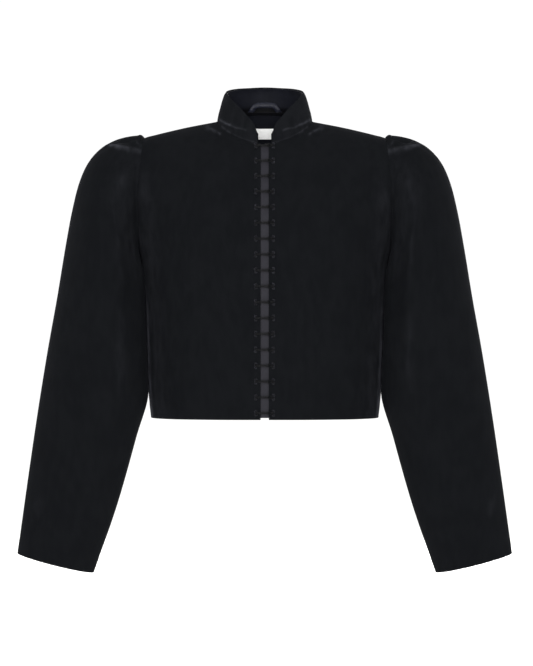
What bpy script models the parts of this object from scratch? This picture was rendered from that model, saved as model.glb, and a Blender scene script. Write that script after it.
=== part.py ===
"""A cropped velvet jacket, filled out as if worn: fronts, back, puffed sleeves, stand collar, hooks and eyes.

The front faces -Y and the wearer's left is +X. The origin is on the line through the two side-neck points.
"""

import math

import bmesh
import bpy
import numpy as np

MM = 0.001

# Cloth
WALL = 1.8 * MM
FACING_WALL = 1.0 * MM
SEAM = 0.3 * MM

# Body: the hem is level, and the shoulder line slopes down from the side-neck point to the sleeve head
HEM_Z = -444 * MM
NECK_HALF = 71.5 * MM
SHOULDER_HALF = 180.4 * MM
SHOULDER_SLOPE = 0.2237
SHOULDER_BOW = 4.8 * MM
FRONT_EDGE = 6 * MM
ARMHOLE_HEIGHT = 185 * MM
ARMHOLE_FRONT = 55 * MM
ARMHOLE_BACK = 52 * MM
ARMHOLE_BOW = 4.7 * MM
SECTION_POWER = 2.5
SHOULDER_ROLL = 150 * MM
ROLL_AT_NECK = 1.0
ROLL_AT_SHOULDER = 0.65
ROLL_CHANGES = (38 * MM, 122 * MM)
NECK_SOFTNESS = 7.0
MOST_CUT = 0.97
JUST_BELOW_TOP = 0.995

# Neckline: how far it drops and stands out at the front, and rises and stands out at the back
NECK_FRONT_DROP = 38.5 * MM
NECK_FRONT_OUT = 72 * MM
NECK_BACK_RISE = 17 * MM
NECK_BACK_OUT = 56 * MM

# Panel grids: rows below and above the underarm, columns to the side-neck point and on to the armhole
ROWS_LOW = 5
ROWS_HIGH = 12
COLUMNS_NECK = 7
COLUMNS_SHOULDER = 6

# Sleeve
SLEEVE_RINGS = 15
TUCK_END_RING = 5.0
BEND_ANGLE = math.radians(155)
BEND_HALF = math.radians(28)

# Collar
COLLAR_EDGE = 10 * MM
COLLAR_ROWS = 4

# Trim
UNDERLAY_HALF = 17 * MM
UNDERLAY_ABOVE_HEM = 3 * MM
UNDERLAY_GAP = 0.5 * MM
UNDERLAY_BELOW_NECK = 2 * MM
NECK_FACING_ROWS = 6
NECK_FACING_COLUMNS = 6
NECK_FACING_SHORT = 1.5 * MM
LABEL_HALF = 25 * MM
LABEL_BELOW_NECK = 20 * MM
LABEL_HEIGHT = 18 * MM
LABEL_GAP = 0.9 * MM
LABEL_WALL = 0.6 * MM
LOOP_HALF = 23.5 * MM
LOOP_RISE = 12 * MM
LOOP_SQUARENESS = 9
LOOP_RADIUS = 1.7 * MM
LOOP_POINTS = 13

# Hooks and eyes: bent wire, laid out flat as across, up and out from the front
HOOKS = 18
HOOK_TOP_Z = -42.5 * MM
HOOK_BOTTOM_Z = -434 * MM
WIRE = 0.5 * MM
EYELET = 1.6 * MM
EYELET_POINTS = 5
EYELET_SPAN = 4 * MM
HOOK_EYELET_X = -13 * MM
HOOK_SHANK = 0.8 * MM
HOOK_TIP_X = 6.4 * MM
HOOK_FOLD_X = 5.2 * MM
HOOK_END_X = 0.6 * MM
EYE_EYELET_X = 12.5 * MM
EYE_NECK = 1.1 * MM
EYE_NECK_X = 8.6 * MM
EYE_WAIST = 2.3 * MM
EYE_BAR_X = 4.6 * MM
EYE_BAR = 1.5 * MM


def table(columns, *rows):
    """Named columns of sizes in metres, from rows in millimetres."""
    return dict(zip(columns, np.array(rows, float).T * MM))


# Half width and depth of the body, by rise above the hem
BODY = table(
    ("rise", "half_width", "front", "back"),
    (0, 170, 104, 92),
    (40, 174, 105, 93),
    (130, 179, 109, 96),
    (225, 183.5, 113, 100),
    (300, 187, 112, 103),
    (360, 186, 108, 102),
    (400, 183, 104, 100),
    (444, 180.4, 100, 98),
)

# Sleeve rings from head to hem: outer and inner point in the front view, how far forward the ring hangs,
# its half depth, and how far its inner front bends round the body
RINGS = table(
    ("out_x", "out_z", "in_x", "in_z", "forward", "depth", "bend"),
    (185, -20.6, 186, -212, 1.5, 55.5, 0),
    (196, -21.6, 186.2, -215, 2, 62, 2),
    (214, -25.2, 186.4, -219, 3, 68, 4.5),
    (234, -33.2, 186.4, -225, 4, 72.5, 6),
    (252, -47.2, 186, -233, 6, 75.5, 9),
    (266.4, -67, 185.4, -243, 9, 77.5, 10),
    (278, -96, 184.4, -258, 13, 78, 10),
    (287.4, -136, 182.4, -280, 18, 76.5, 9.5),
    (296.8, -190, 179.6, -312, 24, 74, 7.5),
    (308.2, -262, 175.9, -352, 29, 69.5, 5),
    (322.8, -345, 172.8, -404, 32, 62.5, 1),
    (338, -437, 191.4, -474, 29, 53.5, 0),
    (353.8, -540, 219.8, -573, 22, 45, 0),
    (369.6, -646.5, 255.8, -675.5, 13, 38, 0),
)

# Tucks of a sleeve head: angle from the shoulder seam, positive to the front, half width and depth
TUCKS = {
    "angle": np.radians([-44.0, -25.0, -8.0, 8.0, 24.0, 46.0]),
    "half": np.radians([9.0, 7.0, 6.0, 6.0, 8.0, 10.0]),
    "depth": np.array([2.6, 3.2, 2.8, 3.0, 3.6, 3.2]) * MM,
}

# Collar: height by angle round the neck from the front, then how far it leans in by share of its height
COLLAR_HEIGHT = {
    "angle": np.radians([7.0, 12.0, 20.0, 32.0, 60.0, 90.0, 180.0]),
    "height": np.array([17.0, 26.0, 35.0, 41.0, 44.0, 43.5, 39.0]) * MM,
}
COLLAR_LEAN = {
    "share": np.array([0.0, 0.1, 0.4, 0.7, 0.9, 1.0]),
    "lean": np.array([0.0, 0.7, 3.9, 7.5, 10.7, 13.5]) * MM,
}


def curve(xs, ys, at):
    """A smooth line through the points of a table that doesn't overshoot them."""
    step = np.diff(xs)
    slope = np.diff(ys) / step
    product = slope[:-1] * slope[1:]
    total = np.where(product > 0, slope[:-1] + slope[1:], 1.0)
    inner = np.where(product > 0, 2 * product / total, 0.0)
    tangent = np.concatenate([slope[:1], inner, slope[-1:]])
    i = np.clip(np.searchsorted(xs, at) - 1, 0, len(step) - 1)
    t = (at - xs[i]) / step[i]
    bend = (3 - 2 * t) * t * t
    rise = tangent[i] * t * (1 - t) ** 2 - tangent[i + 1] * t * t * (1 - t)
    return ys[i] + (ys[i + 1] - ys[i]) * bend + rise * step[i]


def blend(a, b, t):
    """0 below a, 1 above b and a smooth step between."""
    t = np.clip((t - a) / (b - a), 0, 1)
    return t * t * (3 - 2 * t)


# Body surface

TIP_Z = -SHOULDER_SLOPE * (SHOULDER_HALF - NECK_HALF)
UNDERARM = 1 - ARMHOLE_HEIGHT / (TIP_Z - HEM_Z)


def over(a, softness):
    """The part of a above nothing, with its corner rounded off by the softness."""
    return (a + np.sqrt(a * a + softness * softness)) / 2


def top_edge(x, back, softness=0.0):
    """Depth and height of a panel's top edge above x: the shoulder seam, and the neckline inside it."""
    k = over(1 - (x / NECK_HALF) ** 2, softness)
    along = np.clip((x - NECK_HALF) / (SHOULDER_HALF - NECK_HALF), 0, 1)
    z = SHOULDER_BOW * along * (1 - along) - SHOULDER_SLOPE * NECK_HALF * over(x / NECK_HALF - 1, softness)
    if back:
        return NECK_BACK_OUT * np.sqrt(k), z + NECK_BACK_RISE * np.sqrt(k)
    return -NECK_FRONT_OUT * np.sqrt(k), z - NECK_FRONT_DROP * k**0.75


def half_width(w):
    return curve(BODY["rise"], BODY["half_width"], w * -HEM_Z)


def edge_depth(w, back):
    """Depth of the side edge: nothing up to the underarm, then half of the armhole's oval."""
    middle = (1 + UNDERARM) / 2
    oval = np.sqrt(np.clip(1 - ((w - middle) / (1 - middle)) ** 2, 0, 1))
    depth = np.where(w > UNDERARM, oval, 0.0)
    return depth * (ARMHOLE_BACK if back else -ARMHOLE_FRONT)


def cut_in(w, back):
    """Where the armhole cuts a section, as a share of its full half width: 1 below the underarm."""
    w = np.minimum(w, JUST_BELOW_TOP)
    below = np.minimum((1 - w) * (TIP_Z - HEM_Z) / SHOULDER_ROLL, 1)
    full = curve(BODY["rise"], BODY["back" if back else "front"], w * -HEM_Z)
    full = full * (1 - (1 - below) ** 2) ** ROLL_AT_SHOULDER
    edge = np.minimum(np.abs(edge_depth(w, back)) / full, MOST_CUT)
    return (1 - edge**SECTION_POWER) ** (1 / SECTION_POWER)


def body_point(x, x_top, w, back):
    """A point of the body at x, a share w of the way up a column that ends above x_top."""
    z = HEM_Z + (top_edge(x_top, back)[1] - HEM_Z) * w
    y_top, z_top = top_edge(x, back, NECK_SOFTNESS * (1 - w))
    below = np.clip((z_top - z) / SHOULDER_ROLL, 0, 1)
    power = ROLL_AT_NECK + (ROLL_AT_SHOULDER - ROLL_AT_NECK) * blend(*ROLL_CHANGES, x)
    roll = (1 - (1 - below) ** 2) ** power
    depth = curve(BODY["rise"], BODY["back" if back else "front"], w * -HEM_Z)
    profile = y_top + ((depth if back else -depth) - y_top) * roll
    s = np.clip(x / half_width(w), 0, 1) * cut_in(w, back)
    y = profile * (1 - s**SECTION_POWER) ** (1 / SECTION_POWER)
    return np.stack([x, y, z], axis=-1)


def neck_angles(back):
    """Angles of the panel columns round the neckline, from the centre to the side-neck point."""
    if back:
        return np.linspace(0, math.pi / 2, COLUMNS_NECK + 1)
    collar_start = math.asin(COLLAR_EDGE / NECK_HALF)
    onward = np.linspace(collar_start, math.pi / 2, COLUMNS_NECK)
    return np.concatenate([[math.asin(FRONT_EDGE / NECK_HALF)], onward])


def panel_columns(back):
    """Column places at the hem, as shares of the width, and at the top edge, in metres."""
    shoulder = np.linspace(NECK_HALF, SHOULDER_HALF, COLUMNS_SHOULDER + 1)[1:]
    top = np.concatenate([NECK_HALF * np.sin(neck_angles(back)), shoulder])
    hem = np.sin(np.linspace(0, 1, len(top)) * math.pi / 2)
    return hem, top


def panel_rows():
    """Rows as shares of the height: even below the underarm, then even round the armhole's oval."""
    low = np.linspace(0, UNDERARM, ROWS_LOW + 1)
    turn = np.linspace(0, math.pi, ROWS_HIGH + 1)[1:]
    return np.concatenate([low, UNDERARM + (1 - UNDERARM) * (1 - np.cos(turn)) / 2])


def half_panel(back):
    """Points of half a panel, from the centre to the side, hem first."""
    hem, top = panel_columns(back)
    w = panel_rows()[:, None] * np.ones_like(top)
    edge = half_width(w)
    low = top[0] + (edge - top[0]) * hem
    high = top * edge / SHOULDER_HALF
    high[:, 0] = top[0]
    x = low + (high - low) * blend(0.0, 1.0, w)
    x[-1] = top
    return body_point(x, top + 0 * w, w, back)


def normals(grid, closed=False):
    """Unit normals of a grid of points: the columns run across it and the rows up it."""
    if closed:
        across = np.roll(grid, -1, axis=1) - np.roll(grid, 1, axis=1)
    else:
        across = np.gradient(grid, axis=1)
    found = np.cross(across, np.gradient(grid, axis=0))
    return found / np.maximum(np.linalg.norm(found, axis=2, keepdims=True), 1e-12)


def mirrored(grid):
    """The same grid on the other side of the body, with its columns still running from -X to +X."""
    return grid[:, ::-1] * np.array([-1, 1, 1])


def unit(v):
    return v / np.linalg.norm(v, axis=-1, keepdims=True)


def drawn_in(grid, sides, by):
    """The grid with the named borders drawn in along the cloth, to leave the gap of a seam."""
    grid = grid.copy()
    if "left" in sides:
        grid[:, 0] += by * unit(grid[:, 1] - grid[:, 0])
    if "right" in sides:
        grid[:, -1] += by * unit(grid[:, -2] - grid[:, -1])
    if "top" in sides:
        grid[-1] += by * unit(grid[-2] - grid[-1])
    return grid


# Solids


def material(name, hex_colour, roughness, metallic=0.0):
    made = bpy.data.materials.new(name)
    made.use_nodes = True
    shader = made.node_tree.nodes["Principled BSDF"]
    channels = [int(hex_colour[i : i + 2], 16) / 255 for i in (0, 2, 4)]
    shader.inputs["Base Color"].default_value = [c**2.2 for c in channels] + [1.0]
    shader.inputs["Roughness"].default_value = roughness
    shader.inputs["Metallic"].default_value = metallic
    return made


def place(name, data):
    made = bpy.data.objects.new(name, data)
    jacket.objects.link(made)
    return made


def cloth(name, outer, inner, finish, closed=False):
    """A sheet of cloth as a solid: a grid laid on the outer points, extruded through to the inner ones."""
    rows, columns = outer.shape[:2]
    across = columns if closed else columns - 1
    bm = bmesh.new()
    bmesh.ops.create_grid(bm, x_segments=across, y_segments=rows - 1, size=1.0)
    place_of = bm.verts.layers.int.new("place")
    for vert in bm.verts:
        row, column = divmod(vert.index, across + 1)
        vert[place_of] = row * columns + column % columns
        vert.co = outer[row, column % columns]
    if closed:
        bmesh.ops.remove_doubles(bm, verts=bm.verts, dist=1e-7)
    result = bmesh.ops.extrude_face_region(bm, geom=bm.faces[:], use_keep_orig=True)
    through = inner.reshape(-1, 3)
    for item in result["geom"]:
        if isinstance(item, bmesh.types.BMVert):
            item.co = through[item[place_of]]
    bmesh.ops.recalc_face_normals(bm, faces=bm.faces)
    mesh = bpy.data.meshes.new(name)
    bm.to_mesh(mesh)
    bm.free()
    mesh.materials.append(finish)
    return place(name, mesh)


def wire(name, path, radius, finish, rounding=0):
    """Round wire bent along a path, as a curve."""
    data = bpy.data.curves.new(name, "CURVE")
    data.dimensions = "3D"
    data.bevel_depth = radius
    data.bevel_resolution = rounding
    data.use_fill_caps = True
    spline = data.splines.new("POLY")
    spline.points.add(len(path) - 1)
    for point, at in zip(spline.points, path):
        point.co = (*at, 1.0)
    data.materials.append(finish)
    return data


for old in list(bpy.data.objects):
    bpy.data.objects.remove(old)

jacket = bpy.data.collections.new("velvet_jacket")
bpy.context.scene.collection.children.link(jacket)

velvet = material("velvet", "18191D", 0.9)
lining = material("lining", "1B1C21", 0.6)
grosgrain = material("grosgrain", "3A3842", 0.8)
satin = material("satin", "3C3C4B", 0.45)
woven_white = material("woven_white", "EDEDEA", 0.7)
enamel = material("black_enamel", "141416", 0.3, 0.6)

# Fronts and back: their normals are shared along the shoulder and side seams, so the edges face each other
front = half_panel(False)
back_half = half_panel(True)
front_out = normals(front)
back_out = -normals(back_half)
shared = np.zeros(front.shape[:2], bool)
shared[-1, COLUMNS_NECK:] = True
shared[: ROWS_LOW + 1, -1] = True
between = unit(front_out + back_out)
front_out[shared] = between[shared]
back_out[shared] = between[shared]

back = np.concatenate([mirrored(back_half)[:, :-1], back_half], axis=1)
back_normal = np.concatenate([mirrored(back_out)[:, :-1], back_out], axis=1)
middle = back_half.shape[1] - 1
back_normal[:, middle] = unit(back_normal[:, middle] * np.array([0, 1, 1]))

front_outer = drawn_in(front, ("right", "top"), SEAM / 2)
front_inner = drawn_in(front - WALL * front_out, ("right", "top"), SEAM / 2)
cloth("front_left", front_outer, front_inner, velvet)
cloth("front_right", mirrored(front_outer), mirrored(front_inner), velvet)
back_inner = back - WALL * back_normal
seams = ("left", "right", "top")
cloth("back", drawn_in(back, seams, SEAM / 2), drawn_in(back_inner, seams, SEAM / 2), velvet)

# Sleeves: rings lofted from the armhole to the hem, tucked in at the head
row_angle = math.pi / ROWS_HIGH
head = np.arange(0, 4, 1 / 3)
under = np.arange(4, ROWS_HIGH + 1)
angles = np.concatenate([head, under]) * row_angle
ring_angles = np.concatenate([angles, -angles[-2:0:-1]])


def armhole_point(angle):
    """A point of the armhole edge: 0 at the shoulder, a quarter turn at the front."""
    w = (1 + UNDERARM) / 2 + (1 - UNDERARM) / 2 * np.cos(angle)
    x = half_width(w)
    tip = SHOULDER_HALF + 0 * w
    before = body_point(x, tip, w, False)
    behind = body_point(x, tip, w, True)
    return np.where((np.sin(angle) > 0)[..., None], before, behind)


def sleeve_ring(t, angle):
    """A point of the ring at row t of the table."""
    row = np.arange(len(RINGS["out_x"]), dtype=float)
    size = {key: curve(row, RINGS[key], t) for key in RINGS}
    turn = (1 + np.cos(angle)) / 2
    x = size["in_x"] + (size["out_x"] - size["in_x"]) * turn
    x = x + ARMHOLE_BOW * np.sin(angle) ** 2 * (1 - blend(0.0, 5.0, t))
    off = np.clip((angle - BEND_ANGLE) / BEND_HALF, -1, 1)
    x = x - size["bend"] * (0.5 + 0.5 * np.cos(math.pi * off))
    z = size["in_z"] + (size["out_z"] - size["in_z"]) * turn
    return np.stack([x, -size["forward"] - size["depth"] * np.sin(angle), z], axis=-1)


def sleeve_grid():
    """The sleeve's outer points: the armhole seam, then the rings."""
    t = np.linspace(0, len(RINGS["out_x"]) - 1, SLEEVE_RINGS)[:, None] + 0 * ring_angles
    grid = sleeve_ring(t, ring_angles + 0 * t)
    off = (ring_angles[:, None] - TUCKS["angle"]) / TUCKS["half"]
    tuck = (TUCKS["depth"] * (0.5 + 0.5 * np.cos(math.pi * np.clip(off, -1, 1)))).sum(axis=1)
    fade = np.clip(t / 0.7, 0, 1) * (1 - blend(1.0, TUCK_END_RING, t))
    inward = unit(grid.mean(axis=1, keepdims=True) - grid)
    grid = grid + inward * (tuck * fade)[..., None]
    seam = armhole_point(ring_angles) + np.array([SEAM, 0, 0])
    return np.concatenate([seam[None], grid])


sleeve = sleeve_grid()
sleeve_inner = sleeve - WALL * normals(sleeve, closed=True)
sleeve_inner[0, :, 0] = np.maximum(sleeve_inner[0, :, 0], sleeve[0, :, 0])
cloth("sleeve_left", sleeve, sleeve_inner, velvet, closed=True)
cloth("sleeve_right", mirrored(sleeve), mirrored(sleeve_inner), velvet, closed=True)


# Collar: a band that stands on the neckline, with its facing inside it


def neck_point(angle):
    """A point of the neckline: 0 at the centre front, half a turn at the centre back."""
    x = NECK_HALF * np.abs(np.sin(angle))
    one = np.ones_like(x)
    before = body_point(x, x, one, False)
    behind = body_point(x, x, one, True)
    point = np.where((np.cos(angle) > 0)[..., None], before, behind)
    return point * np.stack([np.sign(np.sin(angle)) + (np.sin(angle) == 0), one, one], axis=-1)


def collar_point(angle, share):
    """A point of the collar's outer face, a share of its height up from the neckline, and the way in."""
    folded = np.minimum(angle, 2 * math.pi - angle)
    height = curve(COLLAR_HEIGHT["angle"], COLLAR_HEIGHT["height"], folded)
    lean = curve(COLLAR_LEAN["share"], COLLAR_LEAN["lean"], share) * height / COLLAR_HEIGHT["height"].max()
    base = neck_point(angle)
    inward = -base * np.array([1, 1, 0])
    inward[..., 1] += (NECK_BACK_OUT - NECK_FRONT_OUT) / 2
    inward = unit(inward)
    up = np.array([0, 0, 1]) * (SEAM + height * share)[..., None]
    return base + up + inward * lean[..., None], inward


def collar_angles():
    half = np.concatenate([neck_angles(False)[1:], math.pi - neck_angles(True)[-2::-1]])
    return np.concatenate([half, 2 * math.pi - half[-2::-1]])


angle = collar_angles()
share = np.linspace(0, 1, COLLAR_ROWS + 1)[:, None] ** 1.3
collar = collar_point(angle + 0 * share, share + 0 * angle)[0]
collar_out = normals(collar)
collar_out[0] = unit(collar_out[0] * np.array([1, 1, 0]))
cloth("collar", collar, collar - WALL * collar_out, velvet)
facing = collar - (WALL + SEAM) * collar_out
cloth("collar_facing", facing, facing - FACING_WALL * collar_out, lining)

# Inside the back neck: the facing follows the back's own points, and the label and hanger loop lie on it
rows = slice(-NECK_FACING_ROWS, None)
columns = slice(middle - NECK_FACING_COLUMNS, middle + NECK_FACING_COLUMNS + 1)
neck_facing = (back - (WALL + SEAM) * back_normal)[rows, columns]
neck_facing = drawn_in(neck_facing, ("top",), NECK_FACING_SHORT)
neck_facing_inner = neck_facing - FACING_WALL * back_normal[rows, columns]
cloth("back_neck_facing", neck_facing, neck_facing_inner, lining)

drop = LABEL_BELOW_NECK + LABEL_HEIGHT * np.linspace(1, 0, 3)[:, None]
x = LABEL_HALF * np.linspace(-1, 1, 7)
w = 1 - drop / (NECK_BACK_RISE - HEM_Z) + 0 * x
label = body_point(np.abs(x) + 0 * w, 0 * w, w, True)
label[..., 0] = x
label_out = -normals(label)
label = label - (WALL + SEAM + FACING_WALL + LABEL_GAP) * label_out
cloth("neck_label", label, label - LABEL_WALL * label_out, woven_white)

x = LOOP_HALF * np.sin(np.linspace(-1, 1, LOOP_POINTS) * math.pi / 2)
rise = LOOP_RISE * (1 - np.abs(x / LOOP_HALF) ** LOOP_SQUARENESS) + LOOP_RADIUS
inside, inward = collar_point(math.pi - np.arcsin(x / NECK_HALF), rise / COLLAR_HEIGHT["height"][-1])
loop = inside + inward * (WALL + FACING_WALL + 3 * SEAM + LOOP_RADIUS)
place("hanger_loop", wire("hanger_loop", loop, LOOP_RADIUS, satin, 2))

# Underlay: a strip behind the front gap, a little short of the hem
x = UNDERLAY_HALF * np.array([-1.0, 0.0, 1.0])
w = panel_rows()
w[0] = UNDERLAY_ABOVE_HEM / -HEM_Z
w[-1] = 1 - UNDERLAY_BELOW_NECK / -HEM_Z
w = w[:, None] + 0 * x
underlay = body_point(np.abs(x) + 0 * w, np.abs(x) + 0 * w, w, False)
underlay[..., 0] = x
underlay_out = normals(underlay)
underlay = underlay - (WALL + UNDERLAY_GAP) * underlay_out
cloth("front_underlay", underlay, underlay - FACING_WALL * underlay_out, grosgrain)

# Hooks on the right front and eyes on the left, fastened
LOW = WIRE + SEAM
BAR = LOW + 2 * WIRE + SEAM
TOP = BAR + 2 * WIRE + SEAM


def bent(half):
    """A path from its upper half, given as across, up and out, with the lower half as its mirror image."""
    lower = [(across, -up, out) for across, up, out in half[::-1]]
    return [(across, -out, up) for across, up, out in half + lower]


def eyelet(x, up, first, last):
    """The ring that is sewn down at the end of a wire."""
    turns = np.radians(np.linspace(first, last, EYELET_POINTS))
    return [(x + EYELET * math.cos(a), up + EYELET + EYELET * math.sin(a), LOW) for a in turns]


hook_half = eyelet(HOOK_EYELET_X, HOOK_SHANK, 0, 270) + [
    (HOOK_FOLD_X, HOOK_SHANK, LOW),
    (HOOK_TIP_X, HOOK_SHANK, BAR),
    (HOOK_FOLD_X, HOOK_SHANK, TOP),
    (HOOK_END_X, HOOK_SHANK, TOP),
    (HOOK_END_X - HOOK_SHANK, HOOK_SHANK / 4, TOP),
]
eye_half = eyelet(EYE_EYELET_X, EYE_NECK, 180, -90) + [
    (EYE_NECK_X, EYE_NECK, LOW),
    (EYE_NECK_X - EYE_NECK, EYE_WAIST, LOW + WIRE),
    (EYE_BAR_X + HOOK_SHANK, EYE_WAIST, BAR),
    (EYE_BAR_X, EYE_BAR, BAR),
]
hook_wire = wire("hook", bent(hook_half), WIRE, enamel)
eye_wire = wire("eye", bent(eye_half), WIRE, enamel)
for number, z in enumerate(np.linspace(HOOK_TOP_Z, HOOK_BOTTOM_Z, HOOKS), start=1):
    w = (z + EYELET_SPAN * np.array([-1, 0, 1]) - HEM_Z) / (-NECK_FRONT_DROP - HEM_Z)
    low, at, high = body_point(0 * w, 0 * w, w, False)
    tilt = math.atan2(high[1] - low[1], high[2] - low[2])
    for kind, data in (("hook", hook_wire), ("eye", eye_wire)):
        made = place(f"{kind}_{number:02d}", data)
        made.location = at
        made.rotation_euler = (-tilt, 0, 0)
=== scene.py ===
"""Looks of a cropped velvet jacket, filled out as if worn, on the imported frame.

The front faces -Y, the wearer's left is +X, and the surfaces are those of the part, drawn finer.
"""

import math

import bmesh
import bpy
import numpy as np
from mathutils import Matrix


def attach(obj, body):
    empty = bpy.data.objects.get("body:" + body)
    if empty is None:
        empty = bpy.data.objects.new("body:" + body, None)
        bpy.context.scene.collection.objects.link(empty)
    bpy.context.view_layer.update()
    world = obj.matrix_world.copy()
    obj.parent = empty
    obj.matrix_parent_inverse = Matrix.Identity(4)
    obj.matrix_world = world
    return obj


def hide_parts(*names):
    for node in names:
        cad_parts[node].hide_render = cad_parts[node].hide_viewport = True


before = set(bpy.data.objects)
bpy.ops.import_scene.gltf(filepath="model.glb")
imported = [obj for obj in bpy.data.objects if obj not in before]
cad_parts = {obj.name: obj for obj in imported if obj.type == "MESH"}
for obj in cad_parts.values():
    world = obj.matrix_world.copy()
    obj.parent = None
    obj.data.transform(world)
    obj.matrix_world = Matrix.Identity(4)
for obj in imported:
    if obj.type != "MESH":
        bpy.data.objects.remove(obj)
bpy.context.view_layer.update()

MM = 0.001
UP = np.array([0, 0, 1])

# Cloth
WALL = 1.8 * MM
FACING_WALL = 1.0 * MM
SEAM = 0.3 * MM
CLOSE = 0.05 * MM
ROUND = 0.7 * MM
FACING_ROUND = 0.3 * MM
TRIM_ROUND = 0.2 * MM

# Body
HEM_Z = -444 * MM
NECK_HALF = 71.5 * MM
SHOULDER_HALF = 180.4 * MM
SHOULDER_SLOPE = 0.2237
SHOULDER_BOW = 4.8 * MM
FRONT_EDGE = 6 * MM
ARMHOLE_HEIGHT = 185 * MM
ARMHOLE_FRONT = 55 * MM
ARMHOLE_BACK = 52 * MM
ARMHOLE_BOW = 4.7 * MM
SECTION_POWER = 2.5
SHOULDER_ROLL = 150 * MM
ROLL_AT_NECK = 1.0
ROLL_AT_SHOULDER = 0.65
ROLL_CHANGES = (38 * MM, 122 * MM)
NECK_SOFTNESS = 7.0
MOST_CUT = 0.97
JUST_BELOW_TOP = 0.995
NECK_FRONT_DROP = 38.5 * MM
NECK_FRONT_POWER = 0.75
NECK_FRONT_OUT = 72 * MM
NECK_BACK_RISE = 17 * MM
NECK_BACK_OUT = 56 * MM

# Pattern columns of a panel: the side-neck point is the seventh of thirteen
NECK_COLUMNS = 7
ALL_COLUMNS = 13
FINER = 7
ROWS_LOW = 70
ROWS_HIGH = 110
ROWS_CLOSER = 1.25

# Sleeve
BEND_ANGLE = math.radians(155)
BEND_HALF = math.radians(28)
BACK_BEND = 3.5 * MM
BACK_BEND_RINGS = (0.3, 1.5), (4.0, 7.0)
BOW_END_RING = 5.0
TUCK_RINGS = (1.0, 5.0)
TUCK_SHARP = 0.5
GATHER_RING = 0.4
GATHER_SHARP = 0.7
AROUND = 2 * ROWS_HIGH
ROLL_END = 0.5
ROLL_ROWS = 12
HEAD_END = 4
HEAD_ROWS = 40
ARM_ROWS = 84
ALLOWANCE = 3 * MM
ALLOWANCE_DROP = 2.1 * MM
HEM_ROWS = np.array([26, 23.5, 22, 20, 15, 9, 5, 2.5, 1.2, 0.0]) * MM

# Collar
COLLAR_EDGE = 10 * MM
COLLAR_AROUND = 260
COLLAR_ROWS = np.concatenate([np.linspace(0, 0.5, 22, endpoint=False) ** 1.15, np.linspace(0.45, 1, 16)])
COLLAR_LIGHT = 0.04
CREASE_FOOT = 0.12
FOOT_DIP = 0.2 * MM
FOOT_REACH = 1.5 * MM
FACING_TOP_ROWS = 4
FACING_BELOW_TOP = 0.7 * MM
FACING_SHADE = (5 * MM, 14 * MM)
FACING_DROP = 3 * MM
FACING_DROP_BACK = 0.5 * MM
LAP = np.radians([104.0, 109.0])  # turns round the neck between which the neck facing comes to lap over

# Back neck facing
NECK_FACING_TURN = math.radians(105)  # its lower edge, as a turn round the armhole's oval
NECK_FACING_COLUMNS = 6
NECK_FACING_LOW = 0.8 * MM
NECK_SHADE = 7 * MM
NECK_LIP = np.array([[3.6, -0.6], [4.3, 1.0], [4.6, 2.9]]) * MM  # how far in from the neckline, and up

# Trim
UNDERLAY_HALF = 17 * MM
UNDERLAY_ABOVE_HEM = 3 * MM
UNDERLAY_GAP = 0.5 * MM
UNDERLAY_BELOW_NECK = 2 * MM
UNDERLAY_COLUMNS = 11
UNDERLAY_ROWS = 1001
UNDERLAY_ROUND = 0.1 * MM
RIB = 1.7 * MM
RIB_DEPTH = 0.2 * MM
HOOK_SHADE = 2.4 * MM
HOOK_DARK = 0.85
LABEL_HALF = 25 * MM
LABEL_BELOW_NECK = 20 * MM
LABEL_HEIGHT = 15.6 * MM
LABEL_GAP = 0.9 * MM
LABEL_WALL = 0.6 * MM
LABEL_ROWS, LABEL_COLUMNS = 17, 41
LABEL_PUFF = 0.25 * MM
LABEL_FLAT_EDGE = (0.5 * MM, 4 * MM)
LOOP_HALF = 23.5 * MM
LOOP_RISE = 11 * MM
LOOP_SQUARENESS = 5.5
LOOP_RADIUS = 1.7 * MM
LOOP_FOOT = -0.3 * MM
LOOP_TALL = 4 * MM
LOOP_DEEP = 1.6 * MM
LOOP_FLAT = 0.45 * MM  # pressed flat where it is sewn in
LOOP_FREE = 0.35  # share of its rise over which it comes free
LOOP_GAP = 0.1 * MM
LOOP_BORE = 0.35
LOOP_STEPS, LOOP_AROUND = 61, 24
PUCKER = 0.05
PUCKERS = 9.5

# Hooks and eyes
HOOKS = 18
HOOK_TOP_Z = -42.5 * MM
HOOK_BOTTOM_Z = -434 * MM
WIRE = 0.5 * MM
EYELET = 1.6 * MM
EYELET_POINTS = 9
EYELET_SPAN = 4 * MM
HOOK_EYELET_X = -13 * MM
HOOK_NECK_X = -10 * MM
HOOK_SHANK = 0.8 * MM
HOOK_TIP_X = 6.4 * MM
HOOK_FOLD_X = 5.2 * MM
HOOK_END_X = 0.6 * MM
EYE_EYELET_X = 12.5 * MM
EYE_NECK = 1.1 * MM
EYE_NECK_X = 8.6 * MM
EYE_WAIST = 2.3 * MM
EYE_BAR_X = 4.6 * MM
EYE_BAR = 1.5 * MM

# Sewing
THREAD_RADIUS = 0.2 * MM
OVER_WIRE = np.array([-0.95, -0.55, 0.0, 0.6, 1.1]) * MM  # a stitch across the wire of an eyelet,
OVER_WIRE_OUT = np.array([0.0, 0.8, 1.55, 0.9, 0.0]) * MM  # and how far out it stands
EYELET_STITCHES = np.array([0, 52, 104, 156, 208])
STITCH = 2.6 * MM
STITCH_PITCH = 3.6 * MM
STITCH_INSET = 1.4 * MM
STITCH_START = 0.3 * MM
STITCH_LIFT = 0.1 * MM
STITCH_DIP = 0.35 * MM
STITCH_POINTS = 5
LABEL_THREAD_RADIUS = 0.18 * MM


def table(columns, *rows):
    """Named columns of sizes in metres, from rows in millimetres."""
    return dict(zip(columns, np.array(rows, float).T * MM))


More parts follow.
